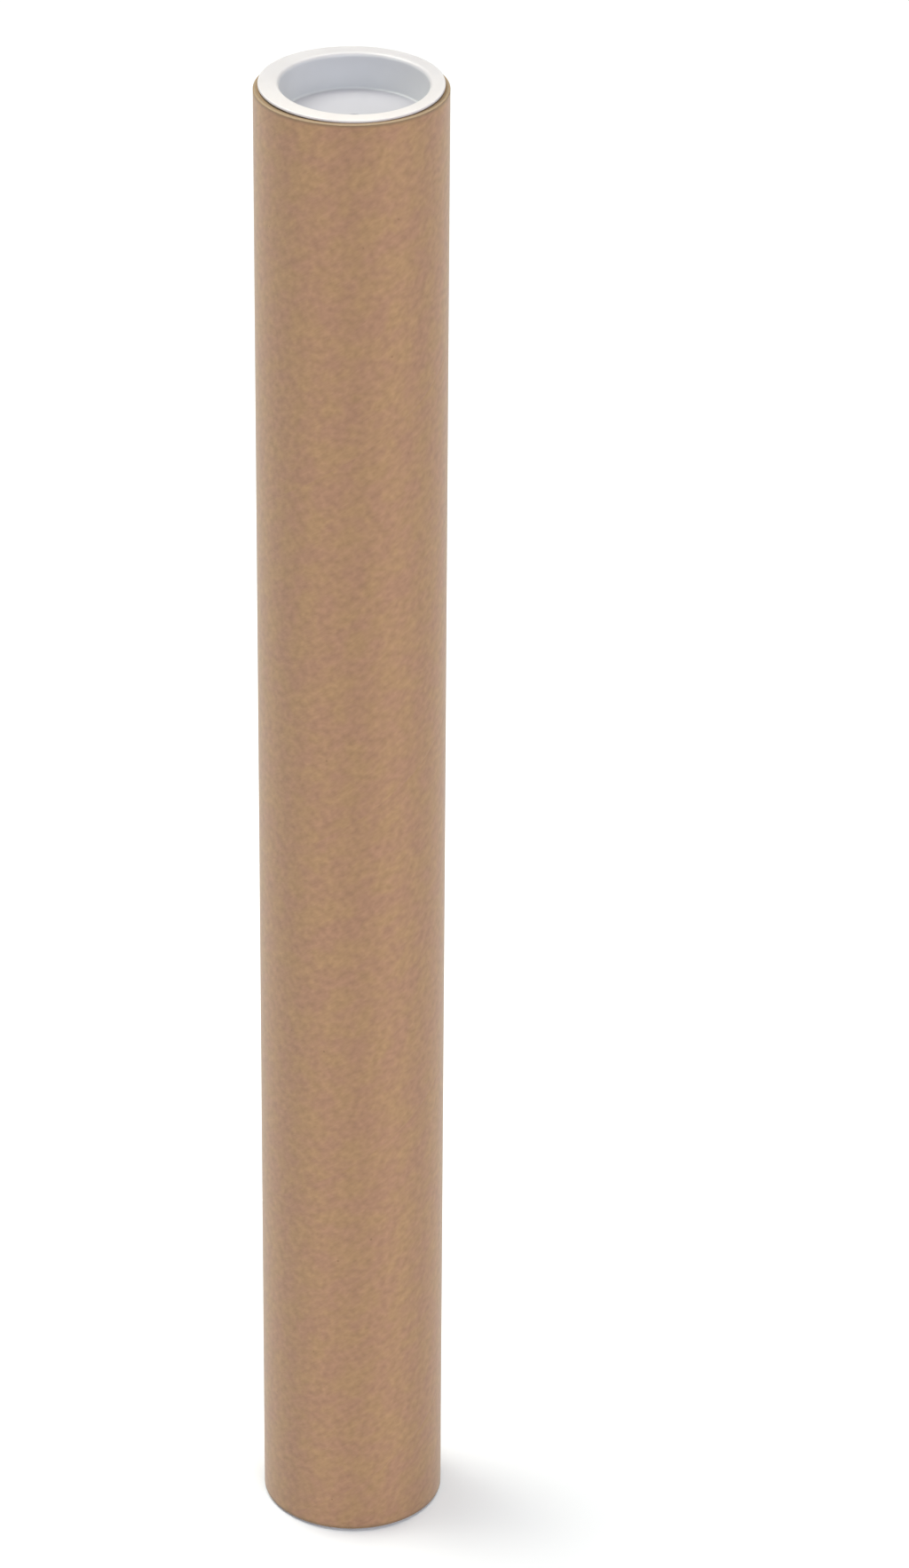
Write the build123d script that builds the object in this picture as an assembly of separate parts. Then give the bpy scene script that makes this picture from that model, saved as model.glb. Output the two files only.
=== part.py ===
from build123d import *
import math
import os

# A spiral-wound kraft mailing tube, closed at both ends by a recessed push-in cap of
# moulded white polyethylene. Millimetres, +Z up, standing on the bottom cap, with the
# origin at the centre of the surface it stands on.

# Driving dimensions of the tube
tube_outer_diameter = 53.0
tube_wall = 2.5
tube_length = 450.0
tube_edge_round = 0.25  # softening of the knife-cut ends

# Driving dimensions of a cap's flange
flange_step_in = 1.3  # how far it stays inside the tube's outer edge
flange_thickness = 0.8
flange_edge_round = 0.3

# Driving dimensions of a cap's recess, the hollow that a thumb pushes into
recess_depth = 10.6  # from the flange's face to the floor
recess_draft = 1.5  # degrees, so that the moulding leaves its core
recess_lip_round = 1.0
recess_corner_round = 0.9

# Driving dimensions of a cap's plug, the part that goes into the tube
plug_wall = 1.6  # between the recess mouth and the roots of the ribs
plug_floor = 1.3
plug_draft = 1.0  # degrees, narrowing towards the nose
plug_nose_round = 1.1
plug_shoulder_round = 0.3  # between the flange and the plug

# Driving dimensions of the grip ribs, barbs that run round the plug and slope to its nose
rib_height = 1.5
rib_root_width = 1.7
rib_crest_width = 0.45
rib_first_depth = 1.9  # from the seat down to the first rib
rib_gap = 1.0  # between the root of one rib and the next
rib_clearance = 0.05  # radial, in the tube's bore

# Driving dimensions of the gate mark in the middle of the recess floor
gate_dimple_diameter = 6.0
gate_dimple_depth = 0.35
gate_nub_diameter = 1.6
gate_nub_height = 0.25

# Radii and heights that follow, with a cap's seat on the tube's end at height zero
tube_outer_radius = tube_outer_diameter / 2
bore_radius = tube_outer_radius - tube_wall
flange_radius = tube_outer_radius - flange_step_in
rib_crest_radius = bore_radius - rib_clearance
core_radius = rib_crest_radius - rib_height
mouth_radius = core_radius - plug_wall
floor_radius = mouth_radius - recess_depth * math.tan(math.radians(recess_draft))
floor_z = flange_thickness - recess_depth
nose_z = floor_z - plug_floor
dimple_z = floor_z - gate_dimple_depth
nub_z = dimple_z + gate_nub_height

# As many ribs as fit between the first one and the rounded nose
rib_pitch = rib_root_width + rib_gap
rib_room = -nose_z - plug_nose_round - rib_first_depth
rib_count = int((rib_room + rib_gap) // rib_pitch)

# Heights of the two seats above the surface that the tube stands on
bottom_seat_z = flange_thickness
top_seat_z = bottom_seat_z + tube_length


def core_radius_at(z):
    """Radius of the drafted plug between its ribs, at a height below the seat."""
    return core_radius + z * math.tan(math.radians(plug_draft))


def face_of(corners):
    """A flat face from corners given as (radius, height)."""
    return make_face(Polyline(*[(r, 0, z) for r, z in corners], close=True))


def rounded(face, corner, radius):
    """The face with the corner nearest to a (radius, height) point rounded."""
    nearest = face.vertices().sort_by_distance((corner[0], 0, corner[1]))[0]
    return fillet(nearest, radius)


def make_tube():
    """The wound wall, a turned ring section with both knife-cut ends softened."""
    corners = [
        (bore_radius, bottom_seat_z),
        (tube_outer_radius, bottom_seat_z),
        (tube_outer_radius, top_seat_z),
        (bore_radius, top_seat_z),
    ]
    wall = face_of(corners)
    for corner in corners:
        wall = rounded(wall, corner, tube_edge_round)
    return revolve(wall, Axis.Z)


def rib_corners(top_z):
    """One barb's section: square on top, a narrow crest, then a slope towards the nose."""
    crest_end_z = top_z - rib_crest_width
    root_z = top_z - rib_root_width
    return [
        (core_radius_at(top_z), top_z),
        (rib_crest_radius, top_z),
        (rib_crest_radius, crest_end_z),
        (core_radius_at(root_z), root_z),
    ]


def make_cap():
    """One moulded cap, turned from its section: flange, ribbed plug, recess and gate mark."""
    flange_edge = (flange_radius, flange_thickness)
    shoulder = (core_radius, 0)
    nose = (core_radius_at(nose_z), nose_z)
    recess_corner = (floor_radius, floor_z)
    lip = (mouth_radius, flange_thickness)
    ribs = []
    for i in range(rib_count):
        ribs += rib_corners(-rib_first_depth - i * rib_pitch)
    corners = [lip, flange_edge, (flange_radius, 0), shoulder, *ribs, nose, (0, nose_z)]
    corners += [(0, nub_z), (gate_nub_diameter / 2, nub_z), (gate_nub_diameter / 2, dimple_z)]
    corners += [(gate_dimple_diameter / 2, dimple_z), (gate_dimple_diameter / 2, floor_z)]
    corners += [recess_corner]
    section = face_of(corners)
    section = rounded(section, flange_edge, flange_edge_round)
    section = rounded(section, shoulder, plug_shoulder_round)
    section = rounded(section, nose, plug_nose_round)
    section = rounded(section, recess_corner, recess_corner_round)
    section = rounded(section, lip, recess_lip_round)
    return revolve(section, Axis.Z)


def write_node(name, solid):
    """One STEP file, named for its piece."""
    solid.label = name
    export_step(solid, f"parts/{name}.step")
    print(f"{name}: {solid.volume:.0f} mm3")


os.makedirs("parts", exist_ok=True)
cap = make_cap()
write_node("kraft_tube", make_tube())
write_node("top_cap", Pos(0, 0, top_seat_z) * cap)
write_node("bottom_cap", Pos(0, 0, bottom_seat_z) * Rot(180, 0, 0) * cap)
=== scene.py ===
# %% [markdown]
# # A kraft mailing tube with white push-in caps
# The tube is a wall of brown paper strips, wound in a spiral round a steel rod, glued and
# cut to length with a knife. A moulded plastic cap is pushed into each end. The packed
# model gives every size and place, and the cells below give each piece its finished
# surface: the paper with its winding, the cut ends with their plies, and the soft plastic.

import bmesh
import bpy
import numpy as np
from mathutils import Matrix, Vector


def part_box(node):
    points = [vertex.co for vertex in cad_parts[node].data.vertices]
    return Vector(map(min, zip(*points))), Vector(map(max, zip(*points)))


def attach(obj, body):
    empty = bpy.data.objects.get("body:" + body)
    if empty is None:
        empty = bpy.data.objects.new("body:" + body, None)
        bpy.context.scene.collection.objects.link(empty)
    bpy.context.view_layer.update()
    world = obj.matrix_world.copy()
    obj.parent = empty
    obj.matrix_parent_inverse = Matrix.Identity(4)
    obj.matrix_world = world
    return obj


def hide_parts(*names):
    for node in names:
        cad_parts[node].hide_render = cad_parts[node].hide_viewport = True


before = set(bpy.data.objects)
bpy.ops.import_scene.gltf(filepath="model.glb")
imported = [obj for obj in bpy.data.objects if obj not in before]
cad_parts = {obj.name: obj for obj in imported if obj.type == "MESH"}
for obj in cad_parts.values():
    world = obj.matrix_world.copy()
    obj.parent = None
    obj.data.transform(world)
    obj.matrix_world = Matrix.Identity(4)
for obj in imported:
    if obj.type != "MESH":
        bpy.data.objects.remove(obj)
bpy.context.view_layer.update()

# %% [markdown]
# ## Sizes
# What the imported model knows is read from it: how wide and long the tube is, how far the
# caps' flanges reach and how deep their plugs go. What a box can't tell is written here in
# millimetres.

# %% Sizes of the tube and its caps, in metres
MM = 0.001
tube_low, tube_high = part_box("kraft_tube")
cap_low, cap_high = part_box("top_cap")
tube_radius = tube_high[0]
tube_bottom = tube_low[2]
tube_top = tube_high[2]
flange_radius = cap_high[0]
flange_thickness = cap_high[2] - tube_top
plug_length = tube_top - cap_low[2]
wall = 2.5 * MM
bore_radius = tube_radius - wall
print(f"tube {2 * tube_radius / MM:.1f} mm across and {(tube_top - tube_bottom) / MM:.1f} mm long")
print(f"flange {2 * flange_radius / MM:.1f} mm across, plug {plug_length / MM:.1f} mm long")

# %% [markdown]
# ## The camera
# The camera stands a metre and a half in front of the tube and looks down on it, so that
# both the recess in the cap and the foot show. Its place and turn are those of a pinhole
# camera fitted to the tube's two long edges and its end curves.

# %% Camera
PICTURE_HEIGHT = 1767  # pixels along the picture's long side
SENSOR = 36.0
camera_focus = 7128.4  # focal length in those pixels
camera_place = (0.0, -1.57872, 1.09237)
camera_yaw, camera_pitch, camera_roll = np.radians([1.054, 28.396, 0.456])


def look(yaw, pitch, roll):
    """Right, up and forward of a camera that first faces +Y: yaw turns it to the right,
    pitch tips it down, and roll turns right and up about the line of sight."""
    forward = np.array([np.sin(yaw) * np.cos(pitch), np.cos(yaw) * np.cos(pitch), -np.sin(pitch)])
    level = np.array([np.cos(yaw), -np.sin(yaw), 0.0])
    upright = np.cross(level, forward)
    right = np.cos(roll) * level + np.sin(roll) * upright
    up = np.cos(roll) * upright - np.sin(roll) * level
    return right, up, forward


right, up, forward = look(camera_yaw, camera_pitch, camera_roll)
camera_data = bpy.data.cameras.new("camera")
camera_data.sensor_width = SENSOR
camera_data.lens = camera_focus / PICTURE_HEIGHT * SENSOR
camera_data.clip_end = 50.0
camera = bpy.data.objects.new("camera", camera_data)
camera.matrix_world = Matrix(np.column_stack([right, up, -forward]).tolist()).to_4x4()
camera.location = camera_place
bpy.context.collection.objects.link(camera)
bpy.context.scene.camera = camera
print(f"lens {camera_data.lens:.1f} mm")

# %% [markdown]
# ## Grids of points
# Every piece here is round. Blender's own cylinders or a Screw modifier would make the
# plain forms, but not a wall whose paper joint climbs round it. So each surface is worked
# out as a grid of points: two numbers, such as an angle and a place along a profile, give
# each point, and quads join neighbours.

# %% Points and quads
COLUMNS = 192  # steps round a full turn
whole_turn = np.arange(COLUMNS + 1) * (2 * np.pi / COLUMNS)


def quads(rows, columns):
    """Corner numbers of a grid's quads, in an order that turns the normal to the row
    direction crossed with the column direction."""
    first = np.arange(rows - 1)[:, None] * columns + np.arange(columns - 1)
    return first.reshape(-1, 1) + np.array([0, columns, columns + 1, 1])


def turned(radii, heights):
    """A profile turned about the Z axis: (r cos a, r sin a, z) for each place along the
    profile (a row) and each angle a (a column). Radii and heights are columns of one value
    a row, or grids with a value for each angle too."""
    radii, heights = np.broadcast_arrays(radii, heights + 0 * whole_turn)
    return np.stack([radii * np.cos(whole_turn), radii * np.sin(whole_turn), heights], -1)


print(f"{COLUMNS} steps round a turn, {tube_radius * whole_turn[1] / MM:.2f} mm each on the tube")

# %% [markdown]
# ## Grids to meshes
# The tube's wall has four surfaces and a cap has one, and together they have to close round
# their piece, as the skin of a solid thing does. So a piece's grids go into one mesh, and
# points that meet at a seam or a pole are merged. Each grid also brings its own coordinates,
# two numbers in metres for each point, such as its place along and across the paper strip,
# which a finish can read.

# %% One closed mesh from several grids
merge_distance = 0.004 * MM


def piece_of(name, grids, sharp_angle):
    """One closed mesh from several grids. Each grid is its points, its paper coordinates,
    its material's number and which of its quads are kept."""
    points, faces, papers, finishes = [], [], [], []
    start = 0
    for grid, paper, finish, keep in grids:
        rows, columns = grid.shape[:2]
        corners = quads(rows, columns)[keep.reshape(-1)]
        points.append(grid.reshape(-1, 3))
        faces.append(corners + start)
        papers.append(paper.reshape(-1, 2)[corners.reshape(-1)])
        finishes.append(np.full(len(corners), finish, np.int32))
        start += rows * columns
    mesh = bpy.data.meshes.new(name)
    mesh.from_pydata(np.concatenate(points), [], np.concatenate(faces))
    mesh.uv_layers.new(name="paper").data.foreach_set("uv", np.concatenate(papers).ravel())
    mesh.polygons.foreach_set("material_index", np.concatenate(finishes))
    return closed(name, mesh, sharp_angle)


def closed(name, mesh, sharp_angle):
    """The mesh as an object, with points that lie within a few microns merged, and shaded
    smooth apart from edges that turn by more than an angle in degrees."""
    work = bmesh.new()
    work.from_mesh(mesh)
    bmesh.ops.remove_doubles(work, verts=work.verts, dist=merge_distance)
    open_edges = sum(not edge.is_manifold for edge in work.edges)
    work.to_mesh(mesh)
    work.free()
    mesh.shade_smooth()
    mesh.set_sharp_from_angle(angle=np.radians(sharp_angle))
    made = bpy.data.objects.new(name, mesh)
    bpy.context.collection.objects.link(made)
    triangles = sum(len(face.vertices) - 2 for face in mesh.polygons)
    print(f"{name}: {triangles} triangles, {open_edges} open edges")
    return made


print(f"points closer than {1000 * merge_distance / MM:.0f} microns are merged")

# %% [markdown]
# ## The wound wall
# The outer paper is one long strip, wound so that each turn lies edge to edge with the one
# before. Its joint is a fine spiral line. To let the mesh follow that line, one direction
# of the grid runs along the strip and the other across it, with the points crowded towards
# the strip's edges. What would stick out past a cut end is pulled back to the cut.

# %% The paper strip and its joint
strip_pitch = 112.5 * MM  # climb of the joint in one turn
strip_turn = 2 * np.pi * tube_radius
strip_length = np.hypot(strip_turn, strip_pitch)  # of one turn, along the joint
strip_width = strip_turn * strip_pitch / strip_length
joint_depth = 0.04 * MM
joint_width = 0.22 * MM
joint_start = 0.62  # where round the tube the joint leaves the bottom end, in turns
out_of_round = 0.03 * MM
edge_round = 0.25 * MM
strip_columns = 29
crowding = 0.98  # of the columns towards the joint, where 1 would let them meet
print(f"paper strip {strip_width / MM:.1f} mm wide, {(tube_top - tube_bottom) / strip_pitch:.1f} turns")


def outer_radius(angle, height):
    """The tube's radius, less a shallow valley along the joint, less the little that a wound
    tube is out of round. The joint climbs one pitch a turn, so (height / pitch - turns +
    start) is a whole number on it, and the rest times the strip's width is the distance.
    The swell is a wave of two a turn times one of three, which both lean along the tube."""
    strips = (height - tube_bottom) / strip_pitch - angle / (2 * np.pi) + joint_start
    distance = (strips - np.round(strips)) * strip_width
    valley = joint_depth * np.exp(-((distance / joint_width) ** 2))
    swell = np.sin(2 * angle + 9 * height) * np.cos(3 * angle - 14 * height)
    return tube_radius - valley - out_of_round * (1 + swell) / 2


def strip_surface(low, high):
    """The outer wall as a strip. Rows go round the tube and columns across the strip, and
    the height is pitch x (turns + part of the width), held between the two ends. The sine
    crowds the columns towards the strip's edges."""
    last_turn = int(np.ceil((high - low) / strip_pitch)) + 1
    turns = np.arange(-COLUMNS, last_turn * COLUMNS + 1)[:, None] / COLUMNS
    even = np.linspace(0, 1, strip_columns)
    across = even - crowding * np.sin(2 * np.pi * even) / (2 * np.pi)
    free = tube_bottom + strip_pitch * (turns + across - joint_start)
    height = np.clip(free, low, high)
    angle = 2 * np.pi * turns + 0 * across
    radius = outer_radius(angle, height)
    grid = np.stack([radius * np.cos(angle), radius * np.sin(angle), height], -1)
    along = turns * strip_length + across * strip_width * strip_pitch / strip_turn
    paper = np.stack([along, across * strip_width + 0 * turns], -1)
    inside = (free > low) & (free < high)
    keep = inside[:-1, :-1] | inside[1:, :-1] | inside[1:, 1:] | inside[:-1, 1:]
    return grid, paper, 0, keep


# %% [markdown]
# ## The cut ends
# A knife cuts the wound tube through. The end shows the plies as fine rings: grey-brown
# board inside, one brown liner at the bore and one outside, each edge standing a hair
# higher or lower than the next. The corners are only just broken.

# %% The plies at an end
ply_count = 6
ply = wall / ply_count
glue_line_depth = 0.04 * MM
glue_line_width = 0.05 * MM
ply_unevenness = 0.015 * MM
rows_in_ply = 8
rows_in_round = 6
print(f"{ply_count} plies of {ply / MM:.2f} mm")


def ply_depth(radius):
    """How far below the cut each point of the end lies: a narrow valley at every glue line,
    and along each ply a slow rise and fall that its neighbours don't share."""
    place = (radius - bore_radius) / ply
    number = np.floor(place)
    from_line = (place - np.round(place)) * ply
    valley = glue_line_depth * np.exp(-((from_line / glue_line_width) ** 2))
    wave = np.sin(3 * whole_turn + 2.1 * number) + np.sin(7 * whole_turn + 4.3 * number)
    return valley + ply_unevenness * (1 + wave / 2)


def end_surface(cut, side):
    """A cut end, in rows from the bore out: a quarter circle up, the rings of plies, and a
    quarter circle down. Side is 1 at the top and -1 at the bottom, where the rows run the
    other way so that the faces look out."""
    quarter = np.linspace(0, np.pi / 2, rows_in_round)[:, None]
    rim = outer_radius(whole_turn, cut - side * edge_round)
    flat_low, flat_high = bore_radius + edge_round, tube_radius - edge_round
    flat = np.linspace(flat_low, flat_high, rows_in_ply * ply_count + 1)[1:-1, None]
    radius = np.concatenate([
        bore_radius + edge_round * (1 - np.cos(quarter)) + 0 * whole_turn,
        flat + 0 * whole_turn,
        rim - edge_round * (1 - np.sin(quarter)),
    ])
    depth = np.concatenate([
        edge_round * (1 - np.sin(quarter)) + 0 * whole_turn,
        ply_depth(flat),
        edge_round * (1 - np.cos(quarter)) + 0 * whole_turn,
    ])
    grid = turned(radius, cut - side * depth)
    paper = np.stack([tube_radius * whole_turn + 0 * radius, radius], -1)
    return grid[::side], paper[::side], 1, np.ones((len(radius) - 1, COLUMNS), bool)


# %% [markdown]
# ## The bore
# The inside is a plain liner of the same brown paper, pressed flat against the steel rod.
# It only shows when a cap is out, so straight rows from end to end are enough.

# %% The inner liner, and the whole wall
bore_rows = 25


def bore_surface(low, high):
    """The inner wall, in rows that climb from one end to the other at the bore's radius."""
    height = np.linspace(low, high, bore_rows)[:, None]
    grid = turned(bore_radius + 0 * height, height)
    paper = np.stack(np.broadcast_arrays(bore_radius * whole_turn, height), -1)
    return grid, paper, 2, np.ones((len(height) - 1, COLUMNS), bool)


wall_low = tube_bottom + edge_round
wall_high = tube_top - edge_round
wall_grids = [
    strip_surface(wall_low, wall_high),
    end_surface(tube_top, 1),
    end_surface(tube_bottom, -1),
    bore_surface(wall_low, wall_high),
]
wound_tube = piece_of("wound_tube", wall_grids, sharp_angle=40)
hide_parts("kraft_tube")
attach(wound_tube, "tube")

# %% [markdown]
# ## The moulded caps
# A push-in cap is moulded in one shot of soft polyethylene. It has no sharp corner, so its
# section is written as a list of corners with a radius each, and an arc takes the place of
# every corner, as on a mould maker's drawing. Then the section is turned about the axis.

# %% Corners to arcs
def arced(corners, arc_points=9):
    """Points along a line of (radius, height, round) corners, with an arc at each corner
    that touches both sides. The arc's centre lies on the corner's bisector, round / sin(half
    the angle) away. The arc's steps start and end small, which keeps the flats' shading."""
    corners = np.array(corners, float)
    ease = np.linspace(0, 1, arc_points)[:, None]
    ease = ease * ease * (3 - 2 * ease)
    line = [corners[:1, :2]]
    for before, here, after in zip(corners[:-2, :2], corners[1:-1], corners[2:, :2]):
        back = (before - here[:2]) / np.linalg.norm(before - here[:2])
        ahead = (after - here[:2]) / np.linalg.norm(after - here[:2])
        half = np.arccos(back @ ahead) / 2
        bisector = (back + ahead) / np.linalg.norm(back + ahead)
        across = (ahead - back) / np.linalg.norm(ahead - back)
        turn = (np.pi / 2 - half) * (2 * ease - 1)
        from_centre = across * np.sin(turn) - bisector * np.cos(turn)
        line.append(here[:2] + bisector * here[2] / np.sin(half) + here[2] * from_centre)
    line.append(corners[-1:, :2])
    return np.concatenate(line)


def spread(line, longest):
    """The same line with points added along its straight runs, so that no step is longer
    than a given length."""
    steps = np.linalg.norm(np.diff(line, axis=0), axis=1)
    parts = np.maximum(1, np.ceil(steps / longest)).astype(int)
    places = np.concatenate([i + np.arange(n) / n for i, n in enumerate(parts)] + [[len(parts)]])
    return np.stack([np.interp(places, np.arange(len(line)), values) for values in line.T], 1)


print("a square corner becomes", len(arced([(0, 0, 0), (1, 0, 0.2), (1, 1, 0)])) - 2, "points")

# %% [markdown]
# ## The cap's sizes
# The flange and the plug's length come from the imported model. The rest is what such a cap
# has: ribs that almost fill the bore, a wall thick enough to press on, sides that lean by a
# degree or so, and rounds where plastic has to flow. The plastic was let in at the middle,
# which leaves a dimple with a small nub.

# %% Sizes of a cap, with its seat at height zero
recess_depth = 10.2 * MM
recess_lean, plug_lean = np.tan(np.radians([1.5, 1.0]))  # so that the cap leaves its mould
lip_round, recess_corner_round = 1.2 * MM, 0.6 * MM
flange_edge_round, flange_under_round = 0.3 * MM, 0.2 * MM
shoulder_round, nose_round = 0.3 * MM, 1.1 * MM
fine = 0.08 * MM  # round of an edge that a mould leaves nearly sharp
rib_count = 3
# down the plug: from the seat to the first rib, a rib's root and crest, and between two ribs
first_rib, rib_root, rib_crest, rib_gap = 1.9 * MM, 1.7 * MM, 0.45 * MM, 1.0 * MM
rib_height = 1.5 * MM
rib_clearance = 0.05 * MM
plug_wall = 2.2 * MM
rib_crest_radius = bore_radius - rib_clearance
core_radius = rib_crest_radius - rib_height
mouth_radius = core_radius - plug_wall
floor_height = flange_thickness - recess_depth
floor_radius = mouth_radius - recess_depth * recess_lean
dimple_radius, dimple_depth, dimple_slope = 3.0 * MM, 0.35 * MM, 0.15 * MM
nub_radius, nub_height, nub_slope = 0.8 * MM, 0.25 * MM, 0.05 * MM
print(f"recess {2 * mouth_radius / MM:.1f} mm across, ribs {2 * rib_crest_radius / MM:.1f} mm across")

# %% [markdown]
# ## The cap's section
# From the middle of the recess floor the line runs out along the floor, up the leaning
# wall, over the lip and the flange, and down the outside of the plug past its three grip
# ribs. Each rib is square on the side of the flange, so that it bites when the cap is
# pulled, and slopes towards the nose, so that it slides in.

# %% Corners of the section
def plug_radius(height):
    """Radius of the plug between its ribs, which narrows by one degree towards the nose."""
    return core_radius + height * plug_lean


def rib_line(top):
    """Corners of one grip rib: square on top, a narrow crest, then a slope to the nose."""
    return [
        (plug_radius(top), top, fine),
        (rib_crest_radius, top, fine),
        (rib_crest_radius, top - rib_crest, fine),
        (plug_radius(top - rib_root), top - rib_root, fine),
    ]


def cap_line():
    """Corners of the whole section, from the axis on the recess floor to the axis under
    the plug."""
    dimple = floor_height - dimple_depth
    nub = dimple + nub_height
    recess = [
        (0, nub, 0),
        (nub_radius, nub, fine),
        (nub_radius + nub_slope, dimple, fine),
        (dimple_radius - dimple_slope, dimple, 2 * fine),
        (dimple_radius, floor_height, 2 * fine),
        (floor_radius, floor_height, recess_corner_round),
        (mouth_radius, flange_thickness, lip_round),
    ]
    flange = [
        (flange_radius, flange_thickness, flange_edge_round),
        (flange_radius, 0, flange_under_round),
    ]
    plug = [(core_radius, 0, shoulder_round)]
    for number in range(rib_count):
        plug += rib_line(-first_rib - number * (rib_root + rib_gap))
    nose = [(plug_radius(-plug_length), -plug_length, nose_round), (0, -plug_length, 0)]
    return recess + flange + plug + nose


print(f"section of {len(cap_line())} corners and {len(arced(cap_line()))} points")

# %% [markdown]
# ## Turning the section
# A moulding is never as true as its drawing. The core that forms the recess sat a little to
# one side in the mould, so the rim is wider on the left. A recess floor this wide sinks as
# it cools, and the thin flange's face dips up to two hundredths of a millimetre here and
# there. The top cap was pushed in by hand and not quite home: its back stands a millimetre
# proud, while the tube's own weight seats the bottom cap. So the turned grid is moved a
# little, by formulas that take the radius and the angle of each point.

# %% The two caps
core_shift = np.array([0.8, -0.2]) * MM
floor_sink = 0.15 * MM
flange_waviness = 0.02 * MM
back_proud = 1.1 * MM
proud_angle = np.radians(100)  # of the side that stands proud, anticlockwise from the right
near_floor = 0.2 * MM  # what lies this close above the floor sinks with it
longest_step = 0.8 * MM


def cap_surface(seat, side, proud):
    """The section turned at a seat's height, with side 1 on the top of the tube and -1 at
    the bottom, where the cap is upside down. The recess moves sideways, which fades out over
    the flange's face. The floor sinks by a parabola of the radius, and the flange's face
    waves with sines of the angle. Proud is how far one side stands off its seat: the height
    gains proud x (1 - square of the share of the way down to the other side), a soft bow
    that leaves every radius as it was."""
    radii, heights = spread(arced(cap_line()), longest_step).T[:, :, None]
    on_face = np.arange(len(radii))[:, None] < np.argmax(radii)
    inward = np.clip(1 - (radii / floor_radius) ** 2, 0, 1) * (heights < floor_height + near_floor)
    outward = np.clip((radii - mouth_radius) / wall, 0, 1) * on_face
    wave = (2 - np.sin(2 * whole_turn + 1) - np.sin(5 * whole_turn)) / 4
    height = heights - floor_sink * inward * on_face - flange_waviness * outward * wave
    grid = turned(radii, seat + side * height)
    face_edge = flange_radius - flange_edge_round
    inside_edge = np.clip((face_edge - radii) / (face_edge - mouth_radius - lip_round), 0, 1)
    grid[..., :2] += core_shift * (inside_edge * on_face)[..., None]
    that_way = grid[..., 0] * np.cos(proud_angle) + grid[..., 1] * np.sin(proud_angle)
    grid[..., 2] += proud * (1 - ((1 - that_way / flange_radius) / 2) ** 2)
    paper = np.stack(np.broadcast_arrays(mouth_radius * whole_turn, radii), -1)
    return grid[::side], paper[::side], 0, np.ones((len(radii) - 1, COLUMNS), bool)


moulded_caps = []
cap_places = [("top_cap", tube_top, 1, back_proud), ("bottom_cap", tube_bottom, -1, 0)]
for node, seat, side, proud in cap_places:
    cap = piece_of("moulded_" + node, [cap_surface(seat, side, proud)], sharp_angle=50)
    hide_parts(node)
    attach(cap, node)
    moulded_caps.append(cap)

# %% [markdown]
# ## Helpers for the finishes
# Colours are written as the screen shows them, in hex, and turned to the linear values that
# the shader adds up. One small function adds a node, so that each finish reads as a list.

# %% Colours and nodes
def linear(colour):
    """Linear red, green, blue and alpha of an sRGB hex colour: each part p becomes
    ((p + 0.055) / 1.055) to the power 2.4, or p / 12.92 in the darkest tones."""
    parts = np.array([int(colour[i:i + 2], 16) for i in (1, 3, 5)]) / 255
    light = np.where(parts > 0.04045, ((parts + 0.055) / 1.055) ** 2.4, parts / 12.92)
    return (*light.tolist(), 1.0)


def add(tree, kind, inputs=(), **settings):
    """A new node with its settings. Inputs gives its sockets values, in their own order as a
    list, or by name as a dictionary. A value that is a socket is linked, and so is a node,
    by the first of its outputs that is in use."""
    node = tree.nodes.new("ShaderNode" + kind)
    for name, value in settings.items():
        setattr(node, name, value)
    if not isinstance(inputs, dict):
        in_use = [number for number, socket in enumerate(node.inputs) if socket.enabled]
        inputs = dict(zip(in_use, inputs))
    for key, value in inputs.items():
        if isinstance(value, bpy.types.Node):
            value = next(output for output in value.outputs if output.enabled)
        if isinstance(value, bpy.types.NodeSocket):
            tree.links.new(value, node.inputs[key])
        else:
            node.inputs[key].default_value = value
    return node


def finish(name, shader_inputs, pattern=None):
    """A material named for its finish. A pattern adds its own nodes and returns what they
    link to on the shader."""
    made = bpy.data.materials.new(name)
    made.use_nodes = True
    tree = made.node_tree
    tree.nodes.clear()
    linked = pattern(tree) if pattern else {}
    shader = add(tree, "BsdfPrincipled", {**shader_inputs, **linked})
    add(tree, "OutputMaterial", {"Surface": shader})
    print("finish:", name, len(tree.nodes), "nodes")
    return made


print(f"middle grey on the screen is {linear('#808080')[0]:.3f} in linear light")

# %% [markdown]
# ## Brown kraft paper
# Kraft paper is unbleached wood pulp, made on a machine that lays most fibres along the
# strip. Close to, it is a felt of pale and dark fibres. From a step away these melt into a
# matt brown with faint yellow and pink clouds. So the colour is a middle brown that clouds,
# flocs and fibres move a little. They read the strip's own coordinates, so they follow its
# winding.

# %% Clouds, flocs and fibres
kraft_yellow = "#A07D5C"
kraft_pink = "#9E785F"
cloud_edges = 0.38, 0.62  # where in the noise the yellow ends, and where the pink is full
noise_span = 0.25, 0.75  # most of a noise lies between these
floc_tone = 0.12  # how much lighter and darker the flocs make the paper
fibre_tone = 0.05
felts = {
    "clouds": (8 * MM, 7 * MM, 4.0),  # how long and wide the features are, and their detail
    "flocs": (2.3 * MM, 1.9 * MM, 1.0),
    "fibres": (1.8 * MM, 0.35 * MM, 2.0),  # real ones are 0.03 mm wide and wouldn't show
}


def felt_noises(tree, paper):
    """One noise for each kind of feature, on coordinates divided by its length and width."""
    noises = {}
    for name, (along, across, detail) in felts.items():
        stretched = add(tree, "Mapping", {"Vector": paper, "Scale": (1 / along, 1 / across, 1)})
        noises[name] = add(tree, "TexNoise", {"Vector": stretched, "Scale": 1.0, "Detail": detail})
    return noises


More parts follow.
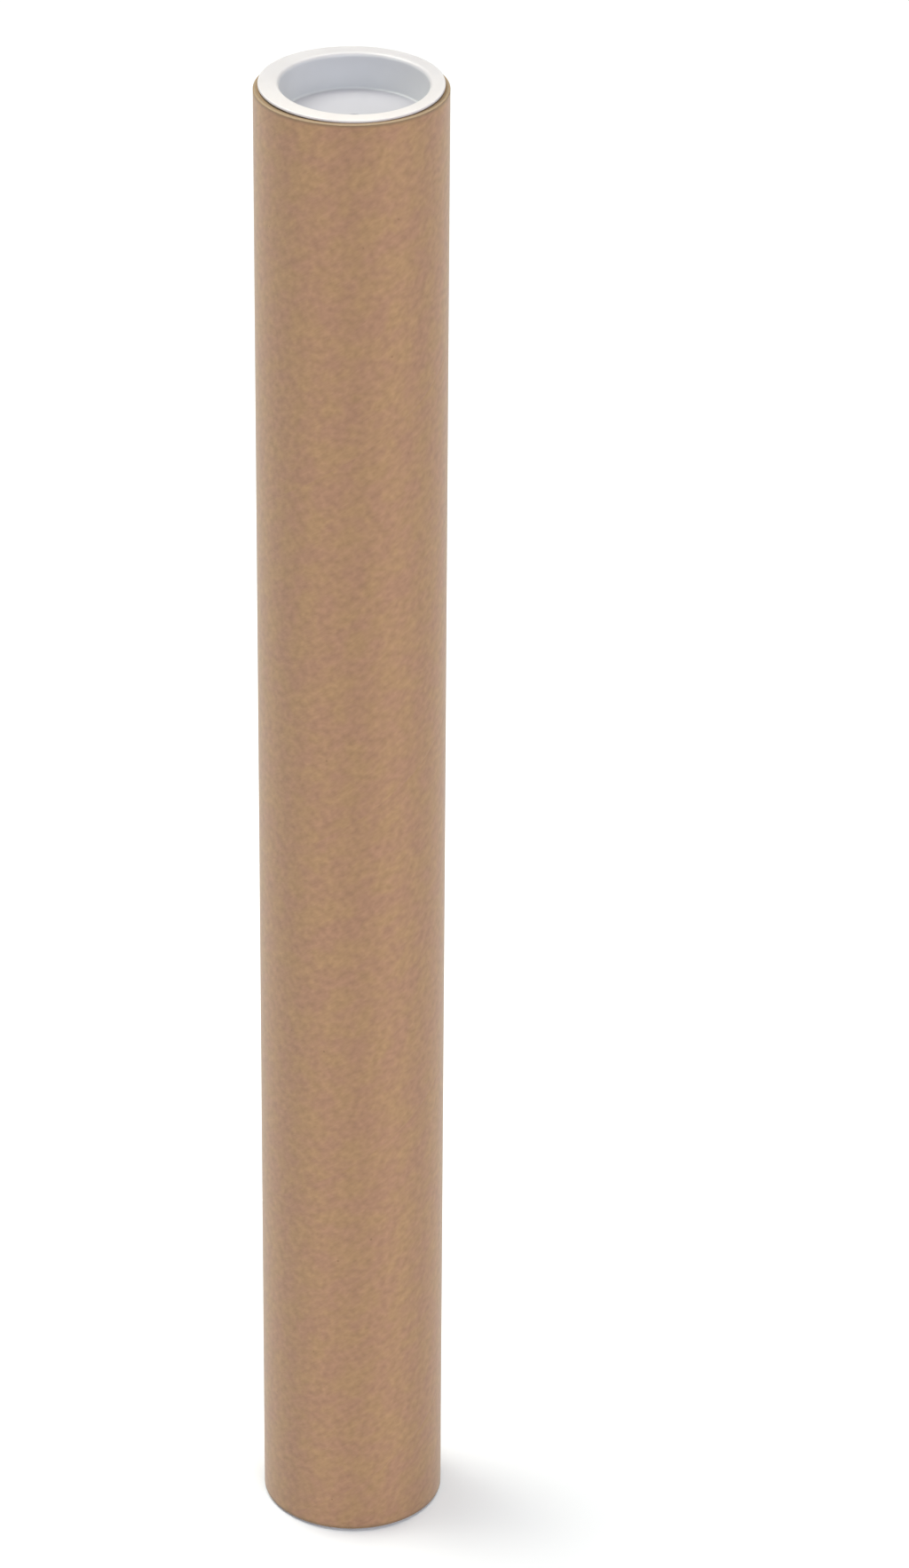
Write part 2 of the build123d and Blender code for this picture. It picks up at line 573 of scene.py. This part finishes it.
def felt_colour(tree, noises, bands):
    """Yellow to pink by the clouds, times the tones of the flocs and fibres and the bands."""
    cloud = add(tree, "MapRange", [noises["clouds"], *cloud_edges])
    brown = add(tree, "Mix", [cloud, linear(kraft_yellow), linear(kraft_pink)], data_type="RGBA")
    flocs = add(tree, "MapRange", [noises["flocs"], *noise_span, 1 - floc_tone, 1 + floc_tone])
    fibres = add(tree, "MapRange", [noises["fibres"], *noise_span, 1 - fibre_tone, 1 + fibre_tone])
    both = add(tree, "Math", [flocs, fibres], operation="MULTIPLY")
    tone = add(tree, "Math", [both, bands], operation="MULTIPLY")
    return add(tree, "HueSaturation", {"Color": brown, "Value": tone})


print("features of the paper:", ", ".join(felts))

# %% [markdown]
# ## Bark, bands and darker ends on the paper
# Unbleached pulp keeps a few specks of bark. The paper also has faint lighter and darker
# bands along the tube, and is darker within a millimetre or so of each knife cut. The specks
# lie on the strip, while the bands go by the angle round the tube and the darker ends by the
# height, which Object coordinates give.

# %% Specks of bark
bark_brown = "#7C5E45"
bark_strength = 0.6
speck_cell = 6 * MM  # one place for a speck in about this much paper each way
bare_cells = 0.45  # share of the places that stay empty
speck_radius = 0.07  # of the largest, in cells
speck_edge = 0.02


def specked(tree, paper, colour):
    """Bark where the distance to a Voronoi cell's point is under the radius that the cell's
    own random number gives."""
    cells = add(tree, "TexVoronoi", {"Vector": paper, "Scale": 1 / speck_cell})
    chance = add(tree, "SeparateXYZ", [cells.outputs["Color"]])
    radius = add(tree, "MapRange", [chance, bare_cells, 1.0, 0.0, speck_radius])
    inside = add(tree, "Math", [radius, cells.outputs["Distance"]], operation="SUBTRACT")
    strength = add(tree, "MapRange", [inside, 0.0, speck_edge, 0.0, bark_strength])
    return add(tree, "Mix", [strength, colour, linear(bark_brown)], data_type="RGBA")


print(f"specks up to {2 * speck_radius * speck_cell / MM:.1f} mm across")

# %% Bands along the tube and darker cut ends
# faint lighter and darker bands along the tube, eight round it
band_count = 8  # round the tube
band_start = -2.0  # radians
band_tone = 0.04
# a darker brown beside each cut end, within this width
end_band_brown = "#6E5A45"
end_band_strength = 0.8
end_band_width = 1.2 * MM


def lengthwise_bands(tree, place):
    """1 + band tone x sin(count x angle + start), with the angle from x and y: faint lighter
    and darker bands along the tube.
    """
    angle = add(tree, "Math", [place["Y"], place["X"]], operation="ARCTAN2")
    phase = add(tree, "Math", [angle, band_count, band_start], operation="MULTIPLY_ADD")
    wave = add(tree, "Math", [phase], operation="SINE")
    return add(tree, "MapRange", [wave, -1.0, 1.0, 1 - band_tone, 1 + band_tone])


def darker_at_ends(tree, place, colour):
    """A darker brown where the distance from the tube's middle nears half its length, beside
    each cut end.
    """
    middle = (tube_bottom + tube_top) / 2
    half = tube_top - middle
    from_middle = add(tree, "Math", [place["Z"], middle], operation="SUBTRACT")
    reach = add(tree, "Math", [from_middle], operation="ABSOLUTE")
    strength = add(tree, "MapRange", [reach, half - end_band_width, half, 0.0, end_band_strength])
    return add(tree, "Mix", [strength, colour, linear(end_band_brown)], data_type="RGBA")


print(f"{band_count} bands round the tube, {end_band_width / MM:.1f} mm darkened at each end")

# %% [markdown]
# ## The paper's surface
# Uncoated paper is matt, with the loose ends of its fibres standing up. Light that grazes
# the tube's sides catches them and makes the sides paler, which is what Sheen is for.

# %% Uncoated kraft paper
fibre_relief = 0.03 * MM


def kraft_pattern(tree):
    """The felt with its bands, then the specks, then the darker cut ends. The fibres stand up."""
    paper = add(tree, "UVMap", uv_map="paper")
    place = add(tree, "SeparateXYZ", [add(tree, "TexCoord").outputs["Object"]]).outputs
    noises = felt_noises(tree, paper)
    felt = felt_colour(tree, noises, lengthwise_bands(tree, place))
    colour = darker_at_ends(tree, place, specked(tree, paper, felt))
    fibres = {"Height": noises["fibres"], "Strength": 0.15, "Distance": fibre_relief}
    return {"Base Color": colour, "Normal": add(tree, "Bump", fibres)}


kraft_paper = finish("uncoated_kraft_paper", {
    "Roughness": 0.88,
    "IOR": 1.48,
    "Specular IOR Level": 0.35,
    "Sheen Weight": 0.27,
    "Sheen Roughness": 0.48,
    "Sheen Tint": (1.0, 1.0, 1.0, 1.0),
}, kraft_pattern)

# %% [markdown]
# ## Cut board
# The plies between the liners are recycled board, greyer than kraft. A knife leaves their
# edges rough and fibrous, with thin dark glue lines between them. The end's own coordinates
# hold the radius, which tells the ply.

# %% Knife-cut paperboard
board_grey = "#928270"
board_brown = "#9A8066"
glue_brown = "#75644F"
glue_strength = 0.6
glue_reach = 0.16  # of a ply, on each side of a glue line
torn_fibre = 1.2 * MM, 0.3 * MM  # length and width, coarser than real ones
torn_span = 0.2, 0.8
torn_tone = 0.15
torn_relief = 0.06 * MM


def ply_colour(tree, radius):
    """A tone for each ply from its whole number, (radius - bore) / ply rounded down, and the
    glue's colour where the number is nearly whole."""
    from_bore = add(tree, "Math", [radius, bore_radius], operation="SUBTRACT")
    number = add(tree, "Math", [from_bore, ply], operation="DIVIDE")
    whole = add(tree, "Math", [number], operation="FLOOR")
    tone = add(tree, "TexWhiteNoise", {"W": whole}, noise_dimensions="1D")
    board = add(tree, "Mix", [tone, linear(board_grey), linear(board_brown)], data_type="RGBA")
    from_line = add(tree, "Math", [number, 1.0], operation="PINGPONG")
    glue = add(tree, "MapRange", [from_line, 0.0, glue_reach, glue_strength, 0.0])
    return add(tree, "Mix", [glue, board, linear(glue_brown)], data_type="RGBA")


def board_pattern(tree):
    """The plies' colours, roughened by short torn fibres that lie along the plies."""
    paper = add(tree, "UVMap", uv_map="paper")
    radius = add(tree, "SeparateXYZ", [paper]).outputs["Y"]
    scale = (1 / torn_fibre[0], 1 / torn_fibre[1], 1)
    stretched = add(tree, "Mapping", {"Vector": paper, "Scale": scale})
    torn = add(tree, "TexNoise", {"Vector": stretched, "Scale": 1.0, "Detail": 3.0})
    tone = add(tree, "MapRange", [torn, *torn_span, 1 - torn_tone, 1 + torn_tone])
    toned = add(tree, "HueSaturation", {"Color": ply_colour(tree, radius), "Value": tone})
    bump = add(tree, "Bump", {"Height": torn, "Strength": 0.6, "Distance": torn_relief})
    return {"Base Color": toned, "Normal": bump}


cut_board = finish("knife_cut_paperboard", {"Roughness": 0.95, "Specular IOR Level": 0.25}, board_pattern)
for paper in (kraft_paper, cut_board, kraft_paper):  # outside, cut ends, bore
    wound_tube.data.materials.append(paper)

# %% [markdown]
# ## White polyethylene
# Low-density polyethylene is soft and milky: light goes a millimetre or two into it and
# comes out again, which fills the shadows in the recess. The colours below also hold
# painted light and shade. The recess floor is painted greyest, a painted shade for the light
# that its thin plastic loses into the dark tube. The rim is painted lighter and warmer at
# the front, where the flange lies tight on the board, and greyer at the back, where it stands
# over a dark gap: painted light at the front and painted shade at the back. The recess wall
# is painted lighter at its foot, a painted light for what comes back off the floor. The cap's
# own coordinates hold the radius, which tells floor, wall and rim apart, and Object
# coordinates tell front from back.

# %% Tones of the plastic, with painted light and shade
polyethylene_white = "#C7C7CD"
# painted light: the wall is painted lighter at its foot, for light that comes back off the floor
wall_foot_painted_light = "#D1D2D7"
# painted light and shade: the rim is painted lighter and warmer at the front and greyer at the back
rim_front_painted_light = "#CCC7CA"
rim_back_painted_shade = "#BDBAC1"
# painted shade: the recess floor is painted greyer, for light that its thin plastic loses into the tube
floor_painted_shade_grey = "#ABAAB4"
# the rim's painted shade runs from none at the front to full at these y values
rim_shade_edges = -flange_radius, 0.25 * flange_radius  # where the gap starts and is full, in y
wall_edges = mouth_radius - 0.05 * MM, floor_radius  # radii at the top and foot of the wall
lip_blend = 0.3 * MM  # how far out the wall's colour turns into the rim's


def plastic_colour(tree, radius, towards_back):
    """The rim greyer the further back it is, and then floor, wall or rim by the radius. The
    floor's grey and the rim's back are painted shade, and the wall's foot and the rim's front
    are painted light.
    """
    rim_back_shade = add(tree, "MapRange", [towards_back, *rim_shade_edges])
    rim = add(tree, "Mix", [rim_back_shade, linear(rim_front_painted_light), linear(rim_back_painted_shade)], data_type="RGBA")
    wall_foot_light = add(tree, "MapRange", [radius, *wall_edges])
    wall_colours = [wall_foot_light, linear(polyethylene_white), linear(wall_foot_painted_light)]
    side = add(tree, "Mix", wall_colours, data_type="RGBA")
    on_rim = add(tree, "MapRange", [radius, mouth_radius, mouth_radius + lip_blend])
    side_or_rim = add(tree, "Mix", [on_rim, side, rim], data_type="RGBA")
    floor_shade = add(tree, "MapRange", [radius, floor_radius, floor_radius - recess_corner_round])
    return add(tree, "Mix", [floor_shade, side_or_rim, linear(floor_painted_shade_grey)], data_type="RGBA")


print("rim from", rim_front_painted_light, "to", rim_back_painted_shade, "and floor", floor_painted_shade_grey)

# %% [markdown]
# ## The plastic's skin
# The skin copies the mould, which is blasted to a fine satin, so highlights are wide and
# dull. As the plastic flowed in it cooled unevenly, which leaves slow changes of gloss.

# %% Moulded low-density polyethylene
satin_grain = 0.5 * MM  # coarser than a real blasted mould, so that it shows
satin_relief = 0.02 * MM
flow_size = 9 * MM
flow_span = 0.3, 0.7
flow_tone = 0.015
satin_roughness = 0.36, 0.44


def polyethylene_pattern(tree):
    """The plastic's colours times a slow tone, its gloss, and the even grain of the skin."""
    place = add(tree, "TexCoord").outputs["Object"]
    skin = add(tree, "TexNoise", {"Vector": place, "Scale": 1 / satin_grain, "Detail": 2.0})
    flow = add(tree, "TexNoise", {"Vector": place, "Scale": 1 / flow_size, "Detail": 2.0})
    radius = add(tree, "SeparateXYZ", [add(tree, "UVMap", uv_map="paper")]).outputs["Y"]
    towards_back = add(tree, "SeparateXYZ", [place]).outputs["Y"]
    # the plastic's colours, with their painted light and shade
    plastic_with_painted_shade = plastic_colour(tree, radius, towards_back)
    tone = add(tree, "MapRange", [flow, *flow_span, 1 - flow_tone, 1 + flow_tone])
    return {
        "Base Color": add(tree, "HueSaturation", {"Color": plastic_with_painted_shade, "Value": tone}),
        "Roughness": add(tree, "MapRange", [flow, *flow_span, *satin_roughness]),
        "Normal": add(tree, "Bump", {"Height": skin, "Strength": 0.15, "Distance": satin_relief}),
    }


polyethylene = finish("moulded_white_polyethylene", {
    "IOR": 1.51,
    "Subsurface Weight": 0.6,
    "Subsurface Radius": (1.0, 0.95, 0.9),
    "Subsurface Scale": 1.2 * MM,
}, polyethylene_pattern)
for cap in moulded_caps:
    cap.data.materials.append(polyethylene)

# %% [markdown]
# ## The floor
# The tube stands on a white paper sweep, so wide that its edge is out of the picture. It is
# a disc of rings that grow outwards. A faint glow keeps the paper white in the shadow.

# %% Floor
sweep_height = -0.03 * MM  # a hair under the cap, so that the two faces don't meet
sweep_rings = np.array([0, 0.05, 0.2, 0.6, 1.5, 3.0, 6.0])[:, None]  # radii in metres
sweep_grid = turned(sweep_rings, sweep_height)
every_quad = np.ones((len(sweep_rings) - 1, COLUMNS), bool)
sweep = piece_of("sweep", [(sweep_grid, sweep_grid[..., :2], 0, every_quad)], sharp_angle=40)
sweep.data.materials.append(finish("matt_white_sweep", {
    "Base Color": linear("#ECEDF5"),
    "Roughness": 0.9,
    "Specular IOR Level": 0.1,
    "Emission Color": linear("#F0F0FF"),
    "Emission Strength": 0.04,
}))

# %% [markdown]
# ## The lights
# The tube stands under a broad, even light. The key is a softbox high on the left and a
# little behind, which gives the one short shadow on the right of the foot. A smaller light
# near the ceiling lifts the back of the rim. A window in front and a low reflector beside it
# fill the side that faces the camera.

# %% World and lights
world_light = 0.301
world_tint = "#F8FFFF"
light_centre = np.array([0.0, 0.0, 0.15])
light_distance = 2.4  # metres
world = bpy.data.worlds.new("studio")
world.use_nodes = True
backdrop = world.node_tree.nodes["Background"].inputs
backdrop["Color"].default_value = linear(world_tint)
backdrop["Strength"].default_value = world_light
bpy.context.scene.world = world


def softbox(name, turn_round, rise, width, power, tint):
    """A square area light on a sphere round the tube's lower half. It stands at the angles
    given in degrees, anticlockwise from the right and up from the floor, and faces in."""
    around, up_from_floor = np.radians([turn_round, rise])
    outward = np.array([
        np.cos(around) * np.cos(up_from_floor),
        np.sin(around) * np.cos(up_from_floor),
        np.sin(up_from_floor),
    ])
    level = np.array([-np.sin(around), np.cos(around), 0.0])
    light = bpy.data.lights.new(name, "AREA")
    light.size = width
    light.energy = power
    light.color = linear(tint)[:3]
    holder = bpy.data.objects.new(name, light)
    facing = np.column_stack([level, np.cross(outward, level), outward])
    holder.matrix_world = Matrix(facing.tolist()).to_4x4()
    holder.location = light_centre + light_distance * outward
    bpy.context.collection.objects.link(holder)
    print(f"{name}: {power} W, {width} m wide")


softbox("key_softbox", turn_round=157, rise=65, width=1.5, power=56.0, tint="#FFFFF0")
softbox("ceiling_light", turn_round=31, rise=70, width=1.0, power=21.9, tint="#FFFCE9")
softbox("front_window", turn_round=285, rise=30, width=1.5, power=20.2, tint="#F6FBFF")
softbox("low_reflector", turn_round=300, rise=13, width=1.2, power=12.2, tint="#FFFFFF")
bpy.context.scene.view_settings.view_transform = "Standard"
